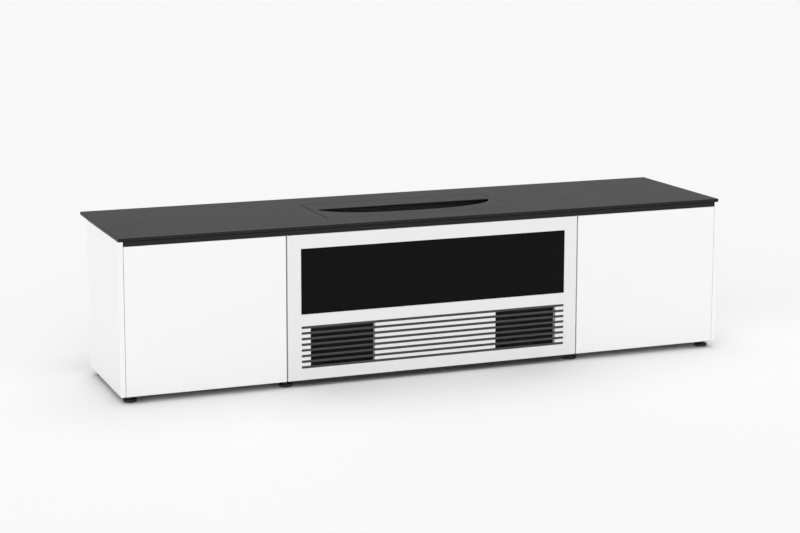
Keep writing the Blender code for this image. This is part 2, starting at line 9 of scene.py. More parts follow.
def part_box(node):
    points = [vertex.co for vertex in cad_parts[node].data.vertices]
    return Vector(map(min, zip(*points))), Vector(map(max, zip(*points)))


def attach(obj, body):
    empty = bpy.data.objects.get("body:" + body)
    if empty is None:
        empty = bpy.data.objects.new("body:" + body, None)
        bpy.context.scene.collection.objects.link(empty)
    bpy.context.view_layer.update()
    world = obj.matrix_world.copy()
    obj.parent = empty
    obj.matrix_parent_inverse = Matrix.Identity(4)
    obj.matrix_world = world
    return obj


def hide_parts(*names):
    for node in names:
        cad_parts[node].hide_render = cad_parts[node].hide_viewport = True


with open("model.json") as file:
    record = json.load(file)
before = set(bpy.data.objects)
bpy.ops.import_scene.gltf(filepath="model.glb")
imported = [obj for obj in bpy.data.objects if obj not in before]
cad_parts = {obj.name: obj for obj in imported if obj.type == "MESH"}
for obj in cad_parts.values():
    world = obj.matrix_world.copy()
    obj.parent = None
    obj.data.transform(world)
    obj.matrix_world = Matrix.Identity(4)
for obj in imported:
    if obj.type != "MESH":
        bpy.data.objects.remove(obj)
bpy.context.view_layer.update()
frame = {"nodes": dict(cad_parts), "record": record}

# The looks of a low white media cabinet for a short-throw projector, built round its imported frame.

MM = 0.001
NODES = frame["nodes"]
SIDES = (("left", -1), ("right", 1))


# --- camera, light and floor -----------------------------------------------------
CAMERA_PLACE = (-2.5226, -6.2853, 1.6809)
CAMERA_YAW = 21.683
CAMERA_PITCH = 8.971
CAMERA_ROLL = 0.095
CAMERA_LENS = 87.779
CAMERA_RISE = -0.10
SENSOR_WIDTH = 36.0
SKY_LOW = 0.94           # strength near the horizon, where the sky is the backdrop
SKY_HIGH = 0.44          # strength overhead, where it only fills the shadows
SKY_FADE = (4, 12)       # degrees above the horizon between which the one fades to the other
SOFTBOXES = (            # name, strength, spread in degrees, direction of its light
    ("overhead_softbox", 1.52, 70, (-0.14, -0.2, -1.0)),
    ("front_softbox", 1.50, 80, (0.75, 1.0, -0.42)),
)
FLOOR_WIDTH = 240


def make_camera():
    data = bpy.data.cameras.new("camera")
    data.lens = CAMERA_LENS
    data.sensor_width = SENSOR_WIDTH
    data.shift_y = CAMERA_RISE
    camera = bpy.data.objects.new("camera", data)
    turn = Matrix.Rotation(radians(-CAMERA_YAW), 4, "Z")
    tilt = Matrix.Rotation(radians(90 - CAMERA_PITCH), 4, "X")
    roll = Matrix.Rotation(radians(CAMERA_ROLL), 4, "Z")
    camera.matrix_world = Matrix.Translation(CAMERA_PLACE) @ turn @ tilt @ roll
    bpy.context.collection.objects.link(camera)
    bpy.context.scene.camera = camera


def make_sun(name, strength, spread, towards):
    data = bpy.data.lights.new(name, "SUN")
    data.energy = strength
    data.angle = radians(spread)
    sun = bpy.data.objects.new(name, data)
    sun.rotation_mode = "QUATERNION"
    sun.rotation_quaternion = Vector(towards).to_track_quat("-Z", "Y")
    bpy.context.collection.objects.link(sun)


def make_studio():
    world = bpy.data.worlds.new("studio")
    world.use_nodes = True
    tree = world.node_tree
    sky = tree.nodes["Background"]
    sky.inputs["Color"].default_value = (1.0, 1.0, 1.0, 1.0)
    where = add(tree, "ShaderNodeTexCoord")
    parts = add(tree, "ShaderNodeSeparateXYZ", {}, {"Vector": where.outputs["Generated"]})
    fade = add(tree, "ShaderNodeMapRange",
               {"From Min": sin(radians(SKY_FADE[0])), "From Max": sin(radians(SKY_FADE[1])),
                "To Min": SKY_LOW, "To Max": SKY_HIGH},
               {"Value": parts.outputs["Z"]})
    tree.links.new(fade.outputs["Result"], sky.inputs["Strength"])
    bpy.context.scene.world = world
    bpy.context.scene.view_settings.view_transform = "Standard"
    for softbox in SOFTBOXES:
        make_sun(*softbox)
    deselect()
    bpy.ops.mesh.primitive_plane_add(size=FLOOR_WIDTH)
    floor = bpy.context.object
    floor.name = "studio_floor"
    floor.data.materials.append(LOOKS["floor"])


# --- materials -------------------------------------------------------------------
def linear(code):
    """The linear colour of an sRGB hex code."""
    shades = [int(code[at:at + 2], 16) / 255 for at in (0, 2, 4)]
    return tuple(shade / 12.92 if shade <= 0.04045 else ((shade + 0.055) / 1.055) ** 2.4
                 for shade in shades)


def add(tree, kind, settings=None, links=None):
    """Adds a node, sets its properties and input values, and links its inputs."""
    made = tree.nodes.new(kind)
    for name, value in (settings or {}).items():
        if hasattr(made, name):
            setattr(made, name, value)
        else:
            made.inputs[name].default_value = value
    for name, source in (links or {}).items():
        tree.links.new(source, made.inputs[name])
    return made


def new_look(name, colour, roughness, metallic=0.0, **more):
    """A Principled material; the other settings are the shader's own sockets."""
    look = bpy.data.materials.new(name)
    look.use_nodes = True
    shader = look.node_tree.nodes["Principled BSDF"]
    shader.inputs["Base Color"].default_value = (*linear(colour), 1.0)
    shader.inputs["Roughness"].default_value = roughness
    shader.inputs["Metallic"].default_value = metallic
    for socket, value in more.items():
        shader.inputs[socket.replace("_", " ")].default_value = value
    return look, look.node_tree, shader


def per_mm(size):
    """The texture scale whose pattern repeats about once in a size given in millimetres."""
    return 1.0 / (size * MM)


def lacquered_board(name, colour, roughness):
    """Sprayed lacquer on MDF: a smooth white skin with a faint orange peel in its reflections."""
    look, tree, shader = new_look(name, colour, roughness, IOR=1.5)
    where = add(tree, "ShaderNodeTexCoord")
    peel = add(tree, "ShaderNodeTexNoise", {"Scale": per_mm(6), "Detail": 1.0},
               {"Vector": where.outputs["Object"]})
    bump = add(tree, "ShaderNodeBump", {"Strength": 0.03, "Distance": 0.05 * MM},
               {"Height": peel.outputs["Fac"]})
    tree.links.new(bump.outputs["Normal"], shader.inputs["Normal"])
    film = add(tree, "ShaderNodeTexNoise", {"Scale": per_mm(180), "Detail": 2.0},
               {"Vector": where.outputs["Object"]})
    spread = add(tree, "ShaderNodeMapRange", {"To Min": roughness - 0.02, "To Max": roughness + 0.04},
                 {"Value": film.outputs["Fac"]})
    tree.links.new(spread.outputs["Result"], shader.inputs["Roughness"])
    return look


def pressed_laminate():
    """Compact laminate pressed from dyed paper: charcoal faces with a fine pebble and a dull sheen,
    and a black core that shows where an edge is cut or chamfered."""
    look, tree, shader = new_look("compact_laminate_pressed", "1A1A1B", 0.5, IOR=1.40)
    where = add(tree, "ShaderNodeTexCoord")
    pebble = add(tree, "ShaderNodeTexNoise", {"Scale": per_mm(1.2), "Detail": 2.0},
                 {"Vector": where.outputs["Object"]})
    bump = add(tree, "ShaderNodeBump", {"Strength": 0.25, "Distance": 0.08 * MM},
               {"Height": pebble.outputs["Fac"]})
    tree.links.new(bump.outputs["Normal"], shader.inputs["Normal"])
    cloud = add(tree, "ShaderNodeTexNoise", {"Scale": per_mm(260), "Detail": 3.0},
                {"Vector": where.outputs["Object"]})
    spread = add(tree, "ShaderNodeMapRange", {"To Min": 0.46, "To Max": 0.54},
                 {"Value": cloud.outputs["Fac"]})
    tree.links.new(spread.outputs["Result"], shader.inputs["Roughness"])
    face = add(tree, "ShaderNodeMix", {"data_type": "RGBA"}, {"Factor": pebble.outputs["Fac"]})
    face.inputs[6].default_value = (*linear("161617"), 1.0)
    face.inputs[7].default_value = (*linear("1F1F20"), 1.0)
    facing = add(tree, "ShaderNodeSeparateXYZ", {}, {"Vector": where.outputs["Normal"]})
    upright = add(tree, "ShaderNodeMath", {"operation": "ABSOLUTE"})
    tree.links.new(facing.outputs["Z"], upright.inputs[0])
    flat = add(tree, "ShaderNodeMapRange", {"From Min": 0.975, "From Max": 0.995},
               {"Value": upright.outputs["Value"]})
    colour = add(tree, "ShaderNodeMix", {"data_type": "RGBA"}, {"Factor": flat.outputs["Result"]})
    colour.inputs[6].default_value = (*linear("070707"), 1.0)
    tree.links.new(face.outputs[2], colour.inputs[7])
    tree.links.new(colour.outputs[2], shader.inputs["Base Color"])
    return look


def melamine_board():
    """Melamine-faced board, pressed with a fine grain: matt graphite with a shallow texture."""
    look, tree, shader = new_look("melamine_board_pressed", "76777A", 0.6, IOR=1.5)
    where = add(tree, "ShaderNodeTexCoord")
    grain = add(tree, "ShaderNodeTexNoise", {"Scale": per_mm(2.0), "Detail": 3.0},
                {"Vector": where.outputs["Object"]})
    bump = add(tree, "ShaderNodeBump", {"Strength": 0.3, "Distance": 0.1 * MM},
               {"Height": grain.outputs["Fac"]})
    tree.links.new(bump.outputs["Normal"], shader.inputs["Normal"])
    colour = add(tree, "ShaderNodeMix", {"data_type": "RGBA"}, {"Factor": grain.outputs["Fac"]})
    colour.inputs[6].default_value = (*linear("707174"), 1.0)
    colour.inputs[7].default_value = (*linear("7C7D80"), 1.0)
    tree.links.new(colour.outputs[2], shader.inputs["Base Color"])
    return look


def woven_cloth():
    """Black acoustic cloth in a plain weave, drawn at a 2 mm thread so that it shows."""
    look, tree, shader = new_look("acoustic_cloth_woven", "0F0F10", 0.95, IOR=1.45)
    shader.inputs["Specular IOR Level"].default_value = 0.2
    where = add(tree, "ShaderNodeTexCoord")
    warp = add(tree, "ShaderNodeTexWave",
               {"wave_type": "BANDS", "bands_direction": "X", "Scale": per_mm(2) / 20 * pi,
                "Distortion": 0.6, "Detail": 1.0, "Detail Scale": 2.0},
               {"Vector": where.outputs["Object"]})
    weft = add(tree, "ShaderNodeTexWave",
               {"wave_type": "BANDS", "bands_direction": "Z", "Scale": per_mm(2) / 20 * pi,
                "Distortion": 0.6, "Detail": 1.0, "Detail Scale": 2.0},
               {"Vector": where.outputs["Object"]})
    weave = add(tree, "ShaderNodeMath", {"operation": "MULTIPLY"})
    tree.links.new(warp.outputs["Fac"], weave.inputs[0])
    tree.links.new(weft.outputs["Fac"], weave.inputs[1])
    bump = add(tree, "ShaderNodeBump", {"Strength": 0.6, "Distance": 0.4 * MM},
               {"Height": weave.outputs["Value"]})
    tree.links.new(bump.outputs["Normal"], shader.inputs["Normal"])
    fuzz = add(tree, "ShaderNodeTexNoise", {"Scale": per_mm(45), "Detail": 4.0},
               {"Vector": where.outputs["Object"]})
    blend = add(tree, "ShaderNodeMath", {"operation": "MULTIPLY"})
    tree.links.new(fuzz.outputs["Fac"], blend.inputs[0])
    tree.links.new(weave.outputs["Value"], blend.inputs[1])
    colour = add(tree, "ShaderNodeMix", {"data_type": "RGBA"}, {"Factor": blend.outputs["Value"]})
    colour.inputs[6].default_value = (*linear("070708"), 1.0)
    colour.inputs[7].default_value = (*linear("171718"), 1.0)
    tree.links.new(colour.outputs[2], shader.inputs["Base Color"])
    return look


def brushed_bar():
    """Anodised aluminium flat, brushed along its length: fine lines that draw the light out."""
    look, tree, shader = new_look("anodised_aluminium_brushed", "505052", 0.38, 1.0)
    where = add(tree, "ShaderNodeTexCoord")
    stretch = add(tree, "ShaderNodeMapping", {"Scale": (0.02, 1.0, 1.0)},
                  {"Vector": where.outputs["Object"]})
    lines = add(tree, "ShaderNodeTexNoise", {"Scale": per_mm(0.5), "Detail": 3.0},
                {"Vector": stretch.outputs["Vector"]})
    bump = add(tree, "ShaderNodeBump", {"Strength": 0.25, "Distance": 0.03 * MM},
               {"Height": lines.outputs["Fac"]})
    tree.links.new(bump.outputs["Normal"], shader.inputs["Normal"])
    spread = add(tree, "ShaderNodeMapRange", {"To Min": 0.30, "To Max": 0.46},
                 {"Value": lines.outputs["Fac"]})
    tree.links.new(spread.outputs["Result"], shader.inputs["Roughness"])
    return look


def moulded_plastic(name, colour, roughness, grain):
    """Injection-moulded plastic with a spark-eroded texture: a fine, even matt grain."""
    look, tree, shader = new_look(name, colour, roughness, IOR=1.49)
    where = add(tree, "ShaderNodeTexCoord")
    pits = add(tree, "ShaderNodeTexVoronoi", {"Scale": per_mm(grain)},
               {"Vector": where.outputs["Object"]})
    bump = add(tree, "ShaderNodeBump", {"Strength": 0.3, "Distance": 0.05 * MM},
               {"Height": pits.outputs["Distance"]})
    tree.links.new(bump.outputs["Normal"], shader.inputs["Normal"])
    spread = add(tree, "ShaderNodeMapRange", {"To Min": roughness - 0.06, "To Max": roughness + 0.08},
                 {"Value": pits.outputs["Distance"]})
    tree.links.new(spread.outputs["Result"], shader.inputs["Roughness"])
    return look


def rolled_steel():
    """Zinc-plated sheet steel: a bright, slightly cloudy passivated skin."""
    look, tree, shader = new_look("steel_zinc_plated", "B9BBBE", 0.32, 1.0)
    where = add(tree, "ShaderNodeTexCoord")
    cloud = add(tree, "ShaderNodeTexNoise", {"Scale": per_mm(8), "Detail": 3.0},
                {"Vector": where.outputs["Object"]})
    spread = add(tree, "ShaderNodeMapRange", {"To Min": 0.24, "To Max": 0.42},
                 {"Value": cloud.outputs["Fac"]})
    tree.links.new(spread.outputs["Result"], shader.inputs["Roughness"])
    return look


def coated_steel():
    """Powder-coated sheet steel: satin black with the slight orange peel of baked powder."""
    look, tree, shader = new_look("steel_powder_coated", "141415", 0.45, IOR=1.5)
    where = add(tree, "ShaderNodeTexCoord")
    peel = add(tree, "ShaderNodeTexNoise", {"Scale": per_mm(1.5), "Detail": 2.0},
               {"Vector": where.outputs["Object"]})
    bump = add(tree, "ShaderNodeBump", {"Strength": 0.35, "Distance": 0.08 * MM},
               {"Height": peel.outputs["Fac"]})
    tree.links.new(bump.outputs["Normal"], shader.inputs["Normal"])
    spread = add(tree, "ShaderNodeMapRange", {"To Min": 0.38, "To Max": 0.52},
                 {"Value": peel.outputs["Fac"]})
    tree.links.new(spread.outputs["Result"], shader.inputs["Roughness"])
    return look


def studio_floor():
    """A seamless matt paper sweep."""
    look, tree, shader = new_look("studio_paper", "F0F0F0", 0.9)
    where = add(tree, "ShaderNodeTexCoord")
    tooth = add(tree, "ShaderNodeTexNoise", {"Scale": per_mm(3), "Detail": 2.0},
                {"Vector": where.outputs["Object"]})
    bump = add(tree, "ShaderNodeBump", {"Strength": 0.05, "Distance": 0.1 * MM},
               {"Height": tooth.outputs["Fac"]})
    tree.links.new(bump.outputs["Normal"], shader.inputs["Normal"])
    return look


LOOKS = {
    "lacquer": lacquered_board("gloss_lacquer_polished", "F3F3F4", 0.10),
    "satin": lacquered_board("satin_lacquer_sprayed", "E9E8E9", 0.30),
    "laminate": pressed_laminate(),
    "melamine": melamine_board(),
    "cloth": woven_cloth(),
    "bar": brushed_bar(),
    "plastic": moulded_plastic("nylon_moulded", "161617", 0.5, 0.8),
    "screen": moulded_plastic("screen_plastic_punched", "080808", 0.75, 0.8),
    "rubber": moulded_plastic("rubber_moulded", "1C1C1C", 0.8, 1.2),
    "steel": rolled_steel(),
    "coated": coated_steel(),
    "floor": studio_floor(),
}


# --- tools -----------------------------------------------------------------------
def deselect():
    if bpy.context.object and bpy.context.object.mode != "OBJECT":
        bpy.ops.object.mode_set(mode="OBJECT")
    bpy.ops.object.select_all(action="DESELECT")


def choose(item):
    deselect()
    item.select_set(True)
    bpy.context.view_layer.objects.active = item


def edit(piece):
    choose(piece)
    bpy.ops.object.mode_set(mode="EDIT")
    bpy.ops.mesh.select_mode(type="FACE")
    bpy.ops.mesh.select_all(action="SELECT")


def done():
    bpy.ops.object.mode_set(mode="OBJECT")


def started(name, size=(1, 1, 1)):
    """Names the primitive just added, gives it its size and puts its place in its mesh."""
    piece = bpy.context.object
    piece.name = name
    piece.data.name = name
    piece.scale = size
    bpy.ops.object.transform_apply(location=True, rotation=True, scale=True)
    return piece


def lattice(name, columns, rows, middle, width, height):
    """A flat grid of cells that stands upright and faces the front."""
    deselect()
    bpy.ops.mesh.primitive_grid_add(x_subdivisions=columns, y_subdivisions=rows, size=1,
                                    location=middle, rotation=(pi / 2, 0, 0))
    return started(name, (width, height, 1))


def saw(axis, places):
    """Cuts the whole mesh across an axis at each place; both sides stay."""
    normal = [1.0 if axis == number else 0.0 for number in range(3)]
    for place in places:
        bpy.ops.mesh.select_all(action="SELECT")
        bpy.ops.mesh.bisect(plane_co=[place * part for part in normal], plane_no=normal)


def pick(piece, test):
    """Selects the faces whose centre and normal pass a test."""
    bpy.ops.mesh.select_all(action="DESELECT")
    mesh = bmesh.from_edit_mesh(piece.data)
    for face in mesh.faces:
        face.select_set(bool(test(face.calc_center_median(), face.normal)))
    bmesh.update_edit_mesh(piece.data)


def push(offset):
    """Extrudes the chosen faces and moves them."""
    bpy.ops.mesh.extrude_region_move(TRANSFORM_OT_translate={"value": offset})


def scale_about(centre, factors):
    bpy.ops.transform.resize(value=factors, center_override=centre)


def weigh_outer_edges(piece, angle):
    """Weights the sharp edges that stand out, so that a bevel leaves the inner corners sharp."""
    edit(piece)
    mesh = bmesh.from_edit_mesh(piece.data)
    weight = mesh.edges.layers.float.new("bevel_weight_edge")
    for line in mesh.edges:
        stands_out = line.is_convex and line.calc_face_angle(0) > radians(angle)
        line[weight] = 1.0 if stands_out else 0.0
    bmesh.update_edit_mesh(piece.data)
    done()


def bevelled(piece, width, segments=2, angle=40, inner_corners=True):
    """Rounds the edges that are sharper than an angle, and smooths the shading between them."""
    if not inner_corners:
        weigh_outer_edges(piece, angle)
    choose(piece)
    edge = piece.modifiers.new("rounded_edge", "BEVEL")
    edge.width = width
    edge.segments = segments
    edge.limit_method = "ANGLE" if inner_corners else "WEIGHT"
    edge.angle_limit = radians(angle)
    edge.miter_outer = "MITER_ARC"
    bpy.ops.object.modifier_apply(modifier=edge.name)
    bpy.ops.object.shade_smooth_by_angle(angle=radians(50))
    level = piece.modifiers.new("flat_faces_stay_flat", "WEIGHTED_NORMAL")
    level.weight = 100
    level.keep_sharp = True
    bpy.ops.object.modifier_apply(modifier=level.name)
    return piece


def thickened(piece, thickness, offset):
    choose(piece)
    wall = piece.modifiers.new("wall", "SOLIDIFY")
    wall.thickness = thickness
    wall.offset = offset
    bpy.ops.object.modifier_apply(modifier=wall.name)
    return piece


def joined(name, pieces):
    """Makes several pieces one piece."""
    deselect()
    for piece in pieces:
        piece.select_set(True)
    bpy.context.view_layer.objects.active = pieces[0]
    bpy.ops.object.join()
    pieces[0].name = name
    return pieces[0]


def turned(name, steps, sides=32, place=(0, 0, 0), towards=(0, 0, 1)):
    """A shape built up from a disc by (radius, height) steps, then stood at its place along its axis."""
    deselect()
    first_radius, first_height = steps[0]
    bpy.ops.mesh.primitive_circle_add(vertices=sides, radius=first_radius, fill_type="NGON",
                                      location=(0, 0, first_height))
    piece = started(name)
    edit(piece)
    radius, height = first_radius, first_height
    for next_radius, next_height in steps[1:]:
        push((0, 0, next_height - height))
        scale_about((0, 0, next_height), (next_radius / radius, next_radius / radius, 1))
        radius, height = next_radius, next_height
    bpy.ops.mesh.select_all(action="SELECT")
    bpy.ops.mesh.normals_make_consistent(inside=False)
    done()
    return stood(piece, place, towards)


def stood(piece, place, towards):
    """Turns a piece made about the Z axis to face a direction, and moves it to its place."""
    choose(piece)
    piece.rotation_mode = "QUATERNION"
    piece.rotation_quaternion = Vector((0, 0, 1)).rotation_difference(Vector(towards))
    piece.location = place
    bpy.ops.object.transform_apply(location=True, rotation=True, scale=True)
    return piece


def another(piece, name, place, towards=(0, 0, 1)):
    """A copy with its own mesh of a piece made at the origin."""
    copy = piece.copy()
    copy.data = piece.data.copy()
    copy.name = name
    copy.data.name = name
    bpy.context.collection.objects.link(copy)
    return stood(copy, place, towards)


def discard(piece):
    bpy.data.objects.remove(piece)


def dress(piece, body, look):
    """Gives a finished piece its material and the body that it rides on."""
    piece.data.materials.clear()
    piece.data.materials.append(LOOKS[look])
    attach(piece, body)
    return piece


def body_of(node):
    bodies = frame["record"]["behaviour"]["bodies"]
    return next(body for body, nodes in bodies.items() if node in nodes)


MERGE_DISTANCE = 0.02 * MM


def eased(node, radius, look):
    """A copy of a CAD node with merged faces and sanded edges, which stands for the node."""
    source = NODES[node]
    piece = bpy.data.objects.new(f"{node}_finished", source.data.copy())
    bpy.context.collection.objects.link(piece)
    edit(piece)
    bpy.ops.mesh.remove_doubles(threshold=MERGE_DISTANCE)
    done()
    bevelled(piece, radius, inner_corners=look != "laminate")
    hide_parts(node)
    return dress(piece, body_of(node), look)


def stands_for(piece, node, look):
    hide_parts(node)
    return dress(piece, body_of(node), look)


# --- boards ----------------------------------------------------------------------
BOARDS = (               # look, slot, edge rounding, CAD nodes
    ("lacquer", "gloss_white_lacquer", 0.8 * MM, ("left_side_panel", "right_side_panel")),
    ("lacquer", "gloss_white_lacquer", 1.8 * MM, ("left_door", "right_door")),
    ("satin", "gloss_white_lacquer", 0.35 * MM, ("center_flap",)),
    ("laminate", "charcoal_laminate", 0.5 * MM, ("sub_top",)),
    ("laminate", "charcoal_laminate", 2.8 * MM, ("top_panel", "lens_insert")),
    ("melamine", "dark_board", 0.5 * MM,
     ("bottom_panel", "left_divider", "right_divider", "left_back_panel", "center_back_panel",
      "right_back_panel", "left_shelf", "right_shelf", "speaker_shelf")),
    ("bar", "dark_anodised_bar", 0.5 * MM, tuple(f"vent_bar_{number}" for number in range(1, 9))),
    ("coated", "black_steel", 0.3 * MM,
     ("projector_tray", "flap_hinge_moving_leaf", "flap_hinge_fixed_leaf", "flap_hinge_spacer",
      "left_top_pivot", "right_top_pivot", "left_bottom_pivot", "right_bottom_pivot")),
    ("plastic", "black_plastic", 0.8 * MM,
     ("left_door_latch_body", "right_door_latch_body", "flap_latch_body",
      "speaker_grille_frame", "left_cable_grommet", "right_cable_grommet")),
    ("steel", "bright_steel", 0.4 * MM, ("left_tray_rail", "right_tray_rail")),
)


def make_boards():
    for look, slot, radius, nodes in BOARDS:
        for node in nodes:
            eased(node, radius, look)


# --- cloth -----------------------------------------------------------------------
CLOTH_THICKNESS = 0.5 * MM
CLOTH_LIP = 14 * MM
CLOTH_CELLS = (96, 24)


def make_cloth():
    """Cloth pulled over the grille frame: a flat front, wrapped edges and a glued lip behind."""
    low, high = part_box("speaker_grille_cloth")
    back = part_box("speaker_grille_frame")[1].y + 0.1 * MM
    front = low.y + CLOTH_THICKNESS
    middle = ((low.x + high.x) / 2, front, (low.z + high.z) / 2)
    width, height = high.x - low.x, high.z - low.z
    cloth = lattice("grille_cloth_stretched", *CLOTH_CELLS, middle, width, height)
    edit(cloth)
    bpy.ops.mesh.select_mode(type="EDGE")
    bpy.ops.mesh.region_to_loop()
    bpy.ops.mesh.extrude_region_move(TRANSFORM_OT_translate={"value": (0, back - front, 0)})
    bpy.ops.mesh.extrude_region_move(TRANSFORM_OT_translate={"value": (0, 0, 0)})
    scale_about(middle, (1 - 2 * CLOTH_LIP / width, 1, 1 - 2 * CLOTH_LIP / height))
    done()
    thickened(cloth, CLOTH_THICKNESS, -1)
    bevelled(cloth, 0.3 * MM, 2)
    stands_for(cloth, "speaker_grille_cloth", "cloth")


# --- vents -----------------------------------------------------------------------
HOLE_PITCH = 7 * MM      # coarser than a real screen's, so that the holes show
HOLE_MARGIN = 1.2 * MM
SCREEN_RIM = 6 * MM


def make_screens():
    """Perforated sheets behind the vent windows: square holes left in a grid of thin ribs."""
    for side, _ in SIDES:
        node = f"{side}_vent_screen"
        low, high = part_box(node)
        width = high.x - low.x - 2 * SCREEN_RIM
        height = high.z - low.z - 2 * SCREEN_RIM
        middle = ((low.x + high.x) / 2, (low.y + high.y) / 2, (low.z + high.z) / 2)
        screen = lattice(f"{side}_vent_mesh", round(width / HOLE_PITCH), round(height / HOLE_PITCH),
                         middle, width, height)
        edit(screen)
        bpy.ops.mesh.inset(thickness=HOLE_MARGIN, use_individual=True)
        bpy.ops.mesh.delete(type="FACE")
        bpy.ops.mesh.select_mode(type="EDGE")
        bpy.ops.mesh.select_all(action="DESELECT")
        pick_rim(screen, middle, width / 2, height / 2)
        bpy.ops.mesh.extrude_region_move(TRANSFORM_OT_translate={"value": (0, 0, 0)})
        scale_about(middle, (1 + 2 * SCREEN_RIM / width, 1, 1 + 2 * SCREEN_RIM / height))
        bpy.ops.mesh.select_all(action="SELECT")
        bpy.ops.mesh.normals_make_consistent(inside=False)
        done()
        thickened(screen, high.y - low.y, 0)
        stands_for(screen, node, "screen")


def pick_rim(piece, middle, half_width, half_height):
    """Selects the edges along the outer rim of an upright grid."""
    mesh = bmesh.from_edit_mesh(piece.data)
    for line in mesh.edges:
        ends = [(abs(v.co.x - middle[0]), abs(v.co.z - middle[2])) for v in line.verts]
        on_side = all(abs(x - half_width) < 0.01 * MM for x, _ in ends)
        on_end = all(abs(z - half_height) < 0.01 * MM for _, z in ends)
        line.select_set(on_side or on_end)
    bmesh.update_edit_mesh(piece.data)


# --- feet ------------------------------------------------------------------------
RIB_COUNT = 24
RIB_HEIGHT = 0.5 * MM
GRIP_SHOULDER = 24 * MM
THREAD_PITCH = 1.0 * MM


def make_feet():
    """Levelling feet: a rubber pad, a ribbed grip ring, a waist and a threaded stem."""
    node = "front_left_foot"
    low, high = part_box(node)
    radius = (high.x - low.x) / 2
    tall = high.z - low.z
    grip = [
        (radius - 3.0 * MM, 2.0 * MM), (radius - 1.2 * MM, 2.4 * MM), (radius - 0.6 * MM, 3.2 * MM),
        (radius - 0.6 * MM, 8.4 * MM), (radius - 1.4 * MM, 9.6 * MM), (radius - 4.0 * MM, 10.6 * MM),
        (14.3 * MM, 12.0 * MM), (14.3 * MM, GRIP_SHOULDER - 0.3 * MM),
    ]
    knob = turned("foot_knob", grip, 2 * RIB_COUNT)
    edit(knob)
    pick(knob, lambda at, normal: abs(normal.z) < 0.1 and at.xy.length > radius - 2 * MM
         and round(turn_of(at) * RIB_COUNT / pi) % 2 == 0)
    bpy.ops.mesh.extrude_region_shrink_fatten(TRANSFORM_OT_shrink_fatten={"value": RIB_HEIGHT})
    done()
    bevelled(knob, 0.15 * MM, 1, 30)
    pad = turned("foot_pad", [(radius - 4 * MM, 0), (radius - 2.6 * MM, 0), (radius - 2.0 * MM, 0.5 * MM),
                              (radius - 2.0 * MM, 1.8 * MM), (radius - 3.4 * MM, 2.3 * MM)], 48)
    bevelled(pad, 0.2 * MM, 2)
    thread = [(4.0 * MM, GRIP_SHOULDER - 0.3 * MM)]
    height = GRIP_SHOULDER
    while height < tall - 1.2 * MM:
        thread += [(3.4 * MM, height), (4.0 * MM, height + THREAD_PITCH / 2)]
        height += THREAD_PITCH
    thread += [(3.2 * MM, tall)]
    stem = turned("foot_stem", thread, 24)
    for end in ("front", "rear"):
        for column in ("left", "left_middle", "right_middle", "right"):
            name = f"{end}_{column}_foot"
            bottom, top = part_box(name)
            place = ((bottom.x + top.x) / 2, (bottom.y + top.y) / 2, 0)
            stands_for(another(knob, f"{name}_knob", place), name, "plastic")
            dress(another(pad, f"{name}_pad", place), body_of(name), "rubber")
            dress(another(stem, f"{name}_stem", place), body_of(name), "steel")
    for piece in (knob, pad, stem):
        discard(piece)


def turn_of(at):
    return atan2(at.y, at.x)


# --- small hardware --------------------------------------------------------------
DOWN = (0, 0, -1)
UP = (0, 0, 1)
BACKWARDS = (0, 1, 0)
PANEL_SCREW_INSET = 8 * MM
PANEL_SCREW_STEPS = (170 * MM, 160 * MM)
PIVOT_PLATE = 1.5 * MM
PIVOT_SCREW_INSET = 8 * MM
PIVOT_SCREW_SETBACKS = (7 * MM, 30 * MM)
LEAF_PLATE = 2.7 * MM
LEAF_SCREW_SETBACK = 12 * MM
LEAF_SCREW_END = 30 * MM
LEAF_SCREW_STEP = 130 * MM
LATCH_SCREW_FRONT = 36 * MM
LATCH_SCREW_BACK = 7 * MM
RAIL_SCREW_END = 12 * MM
SLEEVE_PITCH = 32 * MM
SLEEVE_STEPS = range(-4, 6)
PIN_DROP = 4.3 * MM      # from a shelf's underside down to its pins' middle
SIDE_PIN_INSET = 35 * MM
SPEAKER_PIN_INSET = 25 * MM
LOW_CAP_HEIGHT = 75 * MM
HIGH_CAP_DROP = 35 * MM
BUMPER_EDGE = 3.4 * MM
BUMPER_END = 35 * MM
TRAY_PAD_ACROSS = 240 * MM
TRAY_PAD_INSET = 50 * MM
TRAY_PLATE = 2 * MM


def make_screw():
    """A pan-head screw's head with a cross recess, about the Z axis at the origin."""
    screw = turned("screw", [(3.7 * MM, 0), (3.7 * MM, 0.5 * MM), (3.2 * MM, 1.2 * MM),
                             (2.2 * MM, 1.75 * MM), (1.9 * MM, 1.8 * MM)], 20)
    edit(screw)
    arm = 0.38 * MM
    saw(0, (-arm, arm))
    saw(1, (-arm, arm))
    pick(screw, lambda at, normal: normal.z > 0.9 and at.z > 1.7 * MM and min(abs(at.x), abs(at.y)) < arm)
    push((0, 0, -0.9 * MM))
    done()
    return bevelled(screw, 0.08 * MM, 1, 50)


def repeat(pattern, name, body, places, look):
    """Copies a pattern to each (place, direction) and joins the copies into one piece on a body."""
    copies = [another(pattern, f"{name}_{number}", place, towards)
              for number, (place, towards) in enumerate(places)]
    return dress(joined(name, copies), body, look)


def spaced(first, last, pitch):
    """Places from first to last, about a pitch apart."""
    count = max(1, round((last - first) / pitch))
    return [first + (last - first) * number / count for number in range(count + 1)]


def back_panel_screws():
    places = []
    for node in ("left_back_panel", "center_back_panel", "right_back_panel"):
        low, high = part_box(node)
        inset = PANEL_SCREW_INSET
        across = spaced(low.x + inset, high.x - inset, PANEL_SCREW_STEPS[0])
        up = spaced(low.z + inset, high.z - inset, PANEL_SCREW_STEPS[1])
        places += [((x, high.y, z), BACKWARDS) for x in across for z in (up[0], up[-1])]
        places += [((x, high.y, z), BACKWARDS) for x in (across[0], across[-1]) for z in up[1:-1]]
    return places


